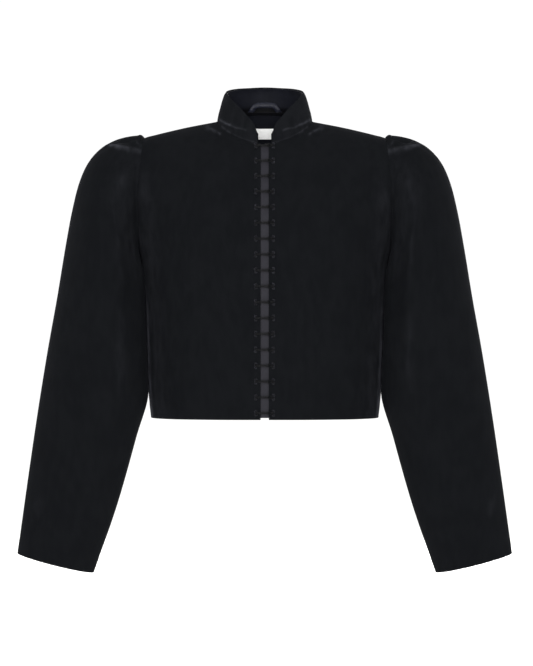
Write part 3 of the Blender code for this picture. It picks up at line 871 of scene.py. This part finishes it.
# Painted highlights on the fronts: by the collar, along the sides and rims, and beside the armhole
front_painted_light = along_lines(front, NECK_LIGHTS) / 100 + waves(from_side, up, SIDE_LIGHTS) / 100
front_painted_light += waves(from_side - RIM_SLANT * (up - HEM_Z), up, RIM_LIGHTS) / 100
beside = hump(reach["right"] - ARMHOLE_LIGHT_IN, ARMHOLE_LIGHT_HALF)
front_painted_light += ARMHOLE_LIGHT * beside * between(*ARMHOLE_LIGHT_HEIGHTS, up)
front_outer = drawn_in(front + relief[..., None] * front_out, ("right", "top"), CLOSE)
relief -= thickness(reach["hem"])
front_inner = drawn_in(front + relief[..., None] * front_out, ("right", "top"), CLOSE)
front_left, front_right = pair("front", front_outer, front_inner, ("right", "top"), front_painted_light)

back = np.concatenate([mirrored(back_half)[:, :-1], back_half], axis=1)
back_normal = np.concatenate([mirrored(back_out)[:, :-1], back_out], axis=1)
middle = back_half.shape[1] - 1
back_normal[:, middle] = unit(back_normal[:, middle] * np.array([0, 1, 1]))
reach = edges(back)
sides = ("left", "right", "top")
relief = turned_edge(reach["hem"]) + MM * waves(np.abs(back[..., 0]), back[..., 2], BACK_WAVES)
relief += sum(seam_relief(reach[side]) for side in sides)
back_outer = drawn_in(back + relief[..., None] * back_normal, sides, CLOSE)
relief -= thickness(reach["hem"])
back_inner = drawn_in(back + relief[..., None] * back_normal, sides, CLOSE)
back_piece = shown(
    "velvet_back",
    cloth(back_outer, back_inner, turned=TURNED, sewn=sides),
    (velvet, lining),
    ("back",),
)


# Sleeves

# Painted light beside the armhole's seam, lifting its shade: how much, how far in, half width, and the
# heights it keeps to
SEAM_LIGHT = 0.04
SEAM_LIGHT_IN = 5 * MM
SEAM_LIGHT_HALF = 9 * MM
SEAM_LIGHT_HEIGHTS = (-0.24, -0.21), (-0.07, -0.04)


def sleeve_ring(t, angle):
    """A point of the ring at row t of the table."""
    row = np.arange(len(RINGS["out_x"]), dtype=float)
    size = {key: curve(row, RINGS[key], t) for key in RINGS}
    turn = (1 + np.cos(angle)) / 2
    x = size["in_x"] + (size["out_x"] - size["in_x"]) * turn
    x = x + ARMHOLE_BOW * np.sin(angle) ** 2 * (1 - blend(0.0, BOW_END_RING, t))
    back_bend = BACK_BEND * between(*BACK_BEND_RINGS, t)
    for depth, centre in ((size["bend"], BEND_ANGLE), (back_bend, -BEND_ANGLE)):
        off = np.clip((angle - centre) / BEND_HALF, -1, 1)
        x = x - depth * (0.5 + 0.5 * np.cos(math.pi * off))
    z = size["in_z"] + (size["out_z"] - size["in_z"]) * turn
    return np.stack([x, -size["forward"] - size["depth"] * np.sin(angle), z], axis=-1)


def turn_between(angle, centre):
    """Smallest turn from one angle to another."""
    return (angle - centre + math.pi) % (2 * math.pi) - math.pi


def valley(angle, centre, half, sharp):
    """A tuck across a ring, 1 at its bottom: soft shoulders and a sharper bottom."""
    off = np.clip(np.abs(turn_between(angle, centre)) / half, 0, 1)
    soft = 0.5 + 0.5 * np.cos(math.pi * off)
    return (1 - sharp) * soft + sharp * (1 - off) ** 2


def line_on_sleeve(t, angle, rows, angles, half, values):
    """Values along a line of ring and angle, fading out to both sides of it."""
    rows = np.array(rows, float)
    at = np.clip(t, rows[0], rows[-1])
    centre = np.radians(curve(rows, np.array(angles, float), at))
    value = np.where(t == at, curve(rows, np.array(values, float), at), 0)
    return value * hump(turn_between(angle, centre), math.radians(half))


def sleeve_relief(t, angle):
    """Height of the tucks, gathers and soft folds of a sleeve."""
    height = 0 * t
    for centre, half, depth in zip(*TUCKS.values()):
        height -= depth * valley(angle, centre, half, TUCK_SHARP) * (1 - blend(*TUCK_RINGS, t))
    for centre, half, depth, end in zip(*GATHERS.values()):
        height -= depth * valley(angle, centre, half, GATHER_SHARP) * (1 - blend(GATHER_RING, end, t))
    for line in FOLDS:
        height += MM * line_on_sleeve(t, angle, *line)
    return height * np.clip(t / ROLL_END, 0, 1)


ring_angle = np.arange(AROUND) / AROUND * 2 * math.pi
ring_angle = np.where(ring_angle > math.pi, ring_angle - 2 * math.pi, ring_angle)
last_two = sleeve_ring(np.array([LAST_RING - 1.0, LAST_RING]), np.zeros(2))
hem_step = np.linalg.norm(last_two[1] - last_two[0])
main_t = np.concatenate(
    [
        np.linspace(ROLL_END, HEAD_END, HEAD_ROWS, endpoint=False),
        np.linspace(HEAD_END, LAST_RING - HEM_ROWS[0] / hem_step, ARM_ROWS, endpoint=False),
        LAST_RING - HEM_ROWS / hem_step,
    ]
)[:, None]
rings = sleeve_ring(main_t + 0 * ring_angle, ring_angle + 0 * main_t)

# The seam follows the panels' own edges, and the cloth beyond it is turned in behind them
before, behind = (panel[ROWS_LOW:, -1][::-1] for panel in (front_outer, back_outer))
seam = np.concatenate([before, behind[-2:0:-1]]) + np.array([CLOSE, 0, 0])
inward = unit((seam.mean(axis=0) - seam) * np.array([0, 1, 1]))
behind_edge = seam + ALLOWANCE_DROP * inward
hidden = seam + 1.3 * ALLOWANCE_DROP * inward - np.array([ALLOWANCE, 0, 0])
# From the seam the cloth rolls over through the first ring
roll = np.linspace(0, 1, ROLL_ROWS, endpoint=False)[:, None, None]
top_of_roll = 2 * sleeve_ring(0 * ring_angle, ring_angle) - (seam + rings[0]) / 2
rolled = seam * (1 - roll) ** 2 + 2 * top_of_roll * roll * (1 - roll) + rings[0] * roll**2
sleeve = np.concatenate([hidden[None], behind_edge[None], rolled, rings])
roll_t = ROLL_END * np.clip(2 * roll[:, 0] - 1, 0, 1)
t = np.concatenate([np.zeros((2, 1)), roll_t, main_t]) + 0 * ring_angle
angle = ring_angle + 0 * t
sleeve_out = normals(sleeve, closed=True)
reach = edges(sleeve)
to_hem = reach["top"]
from_seam = reach["hem"] - reach["hem"][2]
height = sleeve_relief(t, angle) + turned_edge(to_hem) + seam_puff(from_seam)
# Painted highlights on the sleeves, and painted light lifting the shade beside the armhole's seam
sleeve_painted_light = sum(line_on_sleeve(t, angle, *line) for line in SLEEVE_LIGHTS) / 100
beside = hump(from_seam - SEAM_LIGHT_IN, SEAM_LIGHT_HALF) * (sleeve[..., 1] < 0)
sleeve_painted_light += SEAM_LIGHT * beside * between(*SEAM_LIGHT_HEIGHTS, sleeve[..., 2])
sleeve_outer = sleeve + height[..., None] * sleeve_out
sleeve_inner = sleeve_outer - thickness(to_hem)[..., None] * sleeve_out
# The rows run from the hem up here, so that the turned-up hem comes first as on the panels
sleeve_left, sleeve_right = pair(
    "sleeve", sleeve_outer[::-1], sleeve_inner[::-1], ("top",), sleeve_painted_light[::-1], closed=True
)


# Collar and what lies inside the neck


def neck_point(angle):
    """A point of the neckline: 0 at the centre front, half a turn at the centre back."""
    x = NECK_HALF * np.abs(np.sin(angle))
    one = np.ones_like(x)
    before = body_point(x, x, one, False)
    behind = body_point(x, x, one, True)
    point = np.where((np.cos(angle) > 0)[..., None], before, behind)
    return point * np.stack([np.sign(np.sin(angle)) + (np.sin(angle) == 0), one, one], axis=-1)


def collar_point(angle, share):
    """A point of the collar's outer face, a share of its height up from the neckline, and the way in."""
    folded = np.minimum(angle, 2 * math.pi - angle)
    height = curve(COLLAR_HEIGHT["angle"], COLLAR_HEIGHT["height"], folded)
    lean = curve(COLLAR_LEAN["share"], COLLAR_LEAN["lean"], share) * height / COLLAR_HEIGHT["height"].max()
    base = neck_point(angle)
    inward = -base * np.array([1, 1, 0])
    inward[..., 1] += (NECK_BACK_OUT - NECK_FRONT_OUT) / 2
    inward = unit(inward)
    up = UP * (CLOSE + height * share)[..., None]
    return base + up + inward * lean[..., None], inward


collar_start = math.asin(COLLAR_EDGE / NECK_HALF)
angle = np.linspace(collar_start, 2 * math.pi - collar_start, COLLAR_AROUND + 1)
share = COLLAR_ROWS[:, None]
collar = collar_point(angle + 0 * share, share + 0 * angle)[0]
collar_out = normals(collar)
collar_out[0] = unit(collar_out[0] * np.array([1, 1, 0]))
relief = MM * along_lines(collar, COLLAR_CREASES) * (collar[..., 1] < 0) * blend(0.0, CREASE_FOOT, share)
relief = relief - FOOT_DIP * hump(edges(collar)["hem"], FOOT_REACH)
collar_outer = collar + relief[..., None] * collar_out
# The whole collar is painted a little lighter, with painted highlights along its creases at the front
collar_painted_light = COLLAR_LIGHT + along_lines(collar, NECK_LIGHTS) / 100 * (collar[..., 1] < 0)
collar_piece = shown(
    "velvet_collar",
    cloth(collar_outer, collar_outer - WALL * collar_out, sewn=("hem",), pile_and_painted_light=collar_painted_light),
    (velvet, velvet),
    ("collar",),
)
facing = collar - (WALL + SEAM) * collar_out
lowered = np.arange(1, FACING_TOP_ROWS + 1) / FACING_TOP_ROWS
facing[-FACING_TOP_ROWS:, :, 2] -= FACING_BELOW_TOP * lowered[:, None]
lapped = blend(*LAP, np.minimum(angle, 2 * math.pi - angle))
drop = FACING_DROP * (1 - lapped) + FACING_DROP_BACK * lapped
foot = facing[0]
lower = foot - (drop * np.linspace(1, 0, 4)[:-1, None])[..., None] * UP
facing = np.concatenate([lower, facing])
facing_shade = 1 - blend(*FACING_SHADE, facing[..., 2] - foot[:, 2])
facing_out = np.concatenate([0 * lower + collar_out[0], collar_out])
collar_facing = shown(
    "satin_collar_facing",
    cloth(facing, facing - FACING_WALL * facing_out, edge=FACING_ROUND, pile_and_painted_light=facing_shade, layer="shade"),
    (lining, lining),
    ("collar_facing",),
)

rows = panel_rows() >= UNDERARM + (1 - UNDERARM) * (1 - math.cos(NECK_FACING_TURN)) / 2
reach = NECK_FACING_COLUMNS * FINER
columns = slice(middle - reach, middle + reach + 1)
neck_facing = (back - (WALL + SEAM) * back_normal)[rows][:, columns]
neck_normal = back_normal[rows][:, columns]
neck_facing = drawn_in(neck_facing, ("top",), NECK_FACING_LOW)
around = math.pi - np.arcsin(neck_facing[-1, :, 0] / NECK_HALF)
neckline, inward = collar_point(around, 0 * around)
lip = neckline + NECK_LIP[:, :1, None] * inward + NECK_LIP[:, 1:, None] * UP
neck_facing = np.concatenate([neck_facing, lip])
neck_normal = np.concatenate([neck_normal, 0 * lip - inward])
neck_shade = hump(edges(neck_facing)["top"], NECK_SHADE)
neck_facing_piece = shown(
    "satin_neck_facing",
    cloth(
        neck_facing,
        neck_facing - FACING_WALL * neck_normal,
        edge=FACING_ROUND,
        pile_and_painted_light=neck_shade,
        layer="shade",
    ),
    (lining, lining),
    ("back_neck_facing",),
)

drop = LABEL_BELOW_NECK + LABEL_HEIGHT * np.linspace(1, 0, LABEL_ROWS)[:, None]
x = LABEL_HALF * np.linspace(-1, 1, LABEL_COLUMNS)
w = 1 - drop / (NECK_BACK_RISE - HEM_Z) + 0 * x
label = body_point(np.abs(x) + 0 * w, 0 * w, w, True)
label[..., 0] = x
label_out = -normals(label)
puff = LABEL_PUFF * blend(*LABEL_FLAT_EDGE, np.minimum.reduce(list(edges(label).values())))
label = label - (WALL + SEAM + FACING_WALL + LABEL_GAP + puff)[..., None] * label_out
label_piece = shown(
    "white_neck_label",
    cloth(label, label - LABEL_WALL * label_out, edge=TRIM_ROUND),
    (tape, tape),
    ("neck_label",),
)

# Front underlay, with its ribs across, painted darker under each hook as their shade
low_w = UNDERLAY_ABOVE_HEM / -HEM_Z
high_w = 1 - UNDERLAY_BELOW_NECK / -HEM_Z
x = UNDERLAY_HALF * np.linspace(-1, 1, UNDERLAY_COLUMNS)
w = np.linspace(low_w, high_w, UNDERLAY_ROWS)[:, None] + 0 * x
underlay = body_point(np.abs(x) + 0 * w, np.abs(x) + 0 * w, w, False)
underlay[..., 0] = x
underlay_out = normals(underlay)
ribs = RIB_DEPTH * (np.abs(np.sin(math.pi * run(underlay, 0) / RIB)) - 1)
underlay = underlay - (WALL + UNDERLAY_GAP) * underlay_out
hook_heights = np.linspace(HOOK_TOP_Z, HOOK_BOTTOM_Z, HOOKS)
under_hooks = HOOK_DARK * hump(np.abs(underlay[..., 2:] - hook_heights).min(axis=-1), HOOK_SHADE)
underlay_piece = shown(
    "ribbed_underlay",
    cloth(
        underlay + ribs[..., None] * underlay_out,
        underlay - FACING_WALL * underlay_out,
        edge=UNDERLAY_ROUND,
        pile_and_painted_light=under_hooks,
        layer="shade",
    ),
    (grosgrain, grosgrain),
    ("front_underlay",),
)

# Hanger loop: a flattened satin tube, sewn down at both ends
x = LOOP_HALF * np.sin(np.linspace(-1, 1, LOOP_STEPS) * math.pi / 2)
arch = 1 - np.abs(x / LOOP_HALF) ** LOOP_SQUARENESS
rise = LOOP_FOOT + (LOOP_RISE - LOOP_FOOT) * arch + LOOP_RADIUS
inside, inward = collar_point(math.pi - np.arcsin(x / NECK_HALF), rise / COLLAR_HEIGHT["height"][-1])
free = blend(0, LOOP_FREE, arch)
deep = LOOP_FLAT + (LOOP_DEEP - LOOP_FLAT) * free
path = inside + inward * (WALL + FACING_WALL + SEAM + LOOP_GAP + deep + 2 * SEAM * free)[:, None]
along = unit(np.gradient(path, axis=0))
across = unit(inward - along * (inward * along).sum(axis=1, keepdims=True))
upward = np.cross(along, across)
turn = np.linspace(0, 2 * math.pi, LOOP_AROUND, endpoint=False)
pucker = 1 + PUCKER * np.sin(np.linspace(0, PUCKERS * 2 * math.pi, LOOP_STEPS))[:, None]
tube = (
    path[:, None]
    + (deep[:, None] * pucker * np.cos(turn))[..., None] * across[:, None]
    + (LOOP_TALL * pucker * np.sin(turn))[..., None] * upward[:, None]
)
loop_piece = shown(
    "satin_hanger_loop",
    cloth(tube, path[:, None] + LOOP_BORE * (tube - path[:, None]), closed=True, edge=TRIM_ROUND),
    (satin, satin),
    ("hanger_loop",),
)

# Hooks and eyes: bent wire, laid out as across, up and out from the front, with the lower half mirrored
LOW = WIRE + SEAM
BAR = LOW + 2 * WIRE + SEAM
TOP = BAR + 2 * WIRE + SEAM


def bent(half):
    """A path from its upper half, with the lower half as its mirror image."""
    lower = [(across, -up, out) for across, up, out in half[::-1]]
    return smoothed(half + lower)


def eyelet(x, up, first, last):
    """The ring that is sewn down at the end of a wire."""
    turns = np.radians(np.linspace(first, last, EYELET_POINTS))
    return [(x + EYELET * math.cos(a), up + EYELET + EYELET * math.sin(a), LOW) for a in turns]


hook_half = eyelet(HOOK_EYELET_X, HOOK_SHANK, 0, 270) + [
    (HOOK_NECK_X, HOOK_SHANK, LOW),
    (0, HOOK_SHANK, LOW),
    (HOOK_FOLD_X, HOOK_SHANK, LOW),
    (HOOK_TIP_X, HOOK_SHANK, BAR),
    (HOOK_FOLD_X, HOOK_SHANK, TOP),
    (HOOK_END_X, HOOK_SHANK, TOP),
    (HOOK_END_X - HOOK_SHANK, HOOK_SHANK / 4, TOP),
]
eye_half = eyelet(EYE_EYELET_X, EYE_NECK, 180, -90) + [
    (EYE_NECK_X, EYE_NECK, LOW),
    (EYE_NECK_X - EYE_NECK, EYE_WAIST, LOW + WIRE),
    (EYE_BAR_X + HOOK_SHANK, EYE_WAIST, BAR),
    (EYE_BAR_X, EYE_BAR, BAR),
]
hook_path, eye_path = bent(hook_half), bent(eye_half)


def stitch(x, up, turn):
    """A loop of thread over the wire of an eyelet, at a turn round its centre."""
    radius = EYELET + OVER_WIRE
    return np.stack([x + radius * math.cos(turn), up + radius * math.sin(turn), OVER_WIRE_OUT], axis=-1)


def stitches(x, up, start):
    """Stitches round the upper and lower eyelet of a wire."""
    turns = np.radians(start + EYELET_STITCHES)
    upper = [smoothed(stitch(x, up + EYELET, a), 3) for a in turns]
    lower = [smoothed(stitch(x, -up - EYELET, -a), 3) for a in turns]
    return upper + lower


hook_sewing = stitches(HOOK_EYELET_X, HOOK_SHANK, 20)
eye_sewing = stitches(EYE_EYELET_X, EYE_NECK, -48)
hook_pieces, eye_pieces, hook_threads, eye_threads = [], [], [], []
for number, z in enumerate(hook_heights, start=1):
    w = (z + EYELET_SPAN * np.array([-1, 0, 1]) - HEM_Z) / (-NECK_FRONT_DROP - HEM_Z)
    low, at, high = body_point(0 * w, 0 * w, w, False)
    tilt = math.atan2(high[1] - low[1], high[2] - low[2])
    up = np.array([0, math.sin(tilt), math.cos(tilt)])
    out = np.array([0, -math.cos(tilt), math.sin(tilt)])
    lay_out = np.stack([[1, 0, 0], up, out])
    name = f"{number:02d}"
    for kind, path, pieces in (("hook", hook_path, hook_pieces), ("eye", eye_path, eye_pieces)):
        data = wires([at + path @ lay_out], WIRE, 3)
        pieces.append(shown(f"wire_{kind}_{name}", data, (enamel,), (f"{kind}_{name}",)))
    hook_threads += [at + path @ lay_out for path in hook_sewing]
    eye_threads += [at + path @ lay_out for path in eye_sewing]
hook_threads, eye_threads = (wires(paths, THREAD_RADIUS, 1) for paths in (hook_threads, eye_threads))
hook_thread = shown("hook_sewing_thread", hook_threads, (black_thread,), ())
eye_thread = shown("eye_sewing_thread", eye_threads, (black_thread,), ())


# Stitches that hold the label


def label_seam():
    """Short stitches round the label, just inside its edge, on the side that shows."""
    inner = label - (LABEL_WALL + STITCH_LIFT) * label_out
    middle = LABEL_COLUMNS // 2
    wide, tall = LABEL_HALF - STITCH_INSET, LABEL_HEIGHT - 2 * STITCH_INSET
    found = []
    for across, up, dx, dv, length in (
        (-wide, STITCH_INSET, 1, 0, 2 * wide),
        (-wide, LABEL_HEIGHT - STITCH_INSET, 1, 0, 2 * wide),
        (-wide, STITCH_INSET, 0, 1, tall),
        (wide, STITCH_INSET, 0, 1, tall),
    ):
        for start in np.arange(STITCH_START, length - STITCH, STITCH_PITCH):
            step = start + STITCH * np.linspace(0, 1, STITCH_POINTS)
            column = (across + dx * step + LABEL_HALF) / (2 * LABEL_HALF) * (LABEL_COLUMNS - 1)
            row = (up + dv * step) / LABEL_HEIGHT * (LABEL_ROWS - 1)
            at = inner[np.rint(row).astype(int), np.rint(column).astype(int)].copy()
            at[:, 0] = across + dx * step
            at[:, 2] = np.interp(row, np.arange(LABEL_ROWS), inner[:, middle, 2])
            at[[0, -1]] += STITCH_DIP * label_out[0, middle]
            found.append(at)
    return found


label_stitches = wires(label_seam(), LABEL_THREAD_RADIUS, 1)
label_thread = shown("label_sewing_thread", label_stitches, (white_thread,), ())


# Stage

FLOOR_Z = -0.95
FLOOR_HALF = 14.0
bm = bmesh.new()
bmesh.ops.create_grid(bm, x_segments=1, y_segments=1, size=FLOOR_HALF)
bmesh.ops.translate(bm, verts=bm.verts, vec=(0, 0, FLOOR_Z))
mesh = bpy.data.meshes.new("floor")
bm.to_mesh(mesh)
bm.free()
floor = bpy.data.objects.new("floor", mesh)
bpy.context.scene.collection.objects.link(floor)
pale, *_ = surface(
    "pale_floor",
    Base_Color=linear("F4F4F2"),
    Roughness=0.9,
    Emission_Color=linear("FFFFFF"),
    Emission_Strength=0.15,
)
mesh.materials.append(pale)

world = bpy.data.worlds.new("studio")
bpy.context.scene.world = world
world.use_nodes = True
feed(world.node_tree.nodes["Background"], {"Color": linear("FFFFFF"), "Strength": 1.04})


def softbox(name, at, target, size, power):
    """A square studio light aimed at a point."""
    data = bpy.data.lights.new(name, "AREA")
    data.shape = "SQUARE"
    data.size = size
    data.energy = power
    made = bpy.data.objects.new(name, data)
    made.location = at
    way = np.array(at, float) - np.array(target, float)
    made.rotation_euler = (math.atan2(math.hypot(way[0], way[1]), way[2]), 0, math.atan2(way[0], -way[1]))
    bpy.context.scene.collection.objects.link(made)


softbox("key_light", (-0.8, -3.1, 0.5), (0, 0, -0.3), 1.6, 30)
softbox("fill_light", (0.8, -3.1, 0.3), (0, 0, -0.3), 1.6, 22)
softbox("front_light", (0, -3.5, -0.25), (0, 0, -0.25), 0.7, 60)
softbox("top_light", (0, -0.4, 1.7), (0, 0, -0.2), 1.8, 18)
softbox("back_light", (0.6, 3.1, 0.5), (0, 0, -0.3), 1.6, 80)
for side in (-1, 1):
    softbox("side_light", (side * 2.9, 0.7, 0.3), (0, 0, -0.3), 1.4, 30)

# The photograph is level: 666 rows of it are 1 m at the jacket's middle, 3.2 m away
CAMERA = (2.6 * MM, -3.2, -317.5 * MM)
SENSOR = 24.0
camera_data = bpy.data.cameras.new("camera")
camera_data.sensor_width = SENSOR
camera_data.lens = SENSOR * -CAMERA[1]
camera = bpy.data.objects.new("camera", camera_data)
camera.location = CAMERA
camera.rotation_euler = (math.pi / 2, 0, 0)
bpy.context.scene.collection.objects.link(camera)
bpy.context.scene.camera = camera
bpy.context.scene.view_settings.view_transform = "Standard"
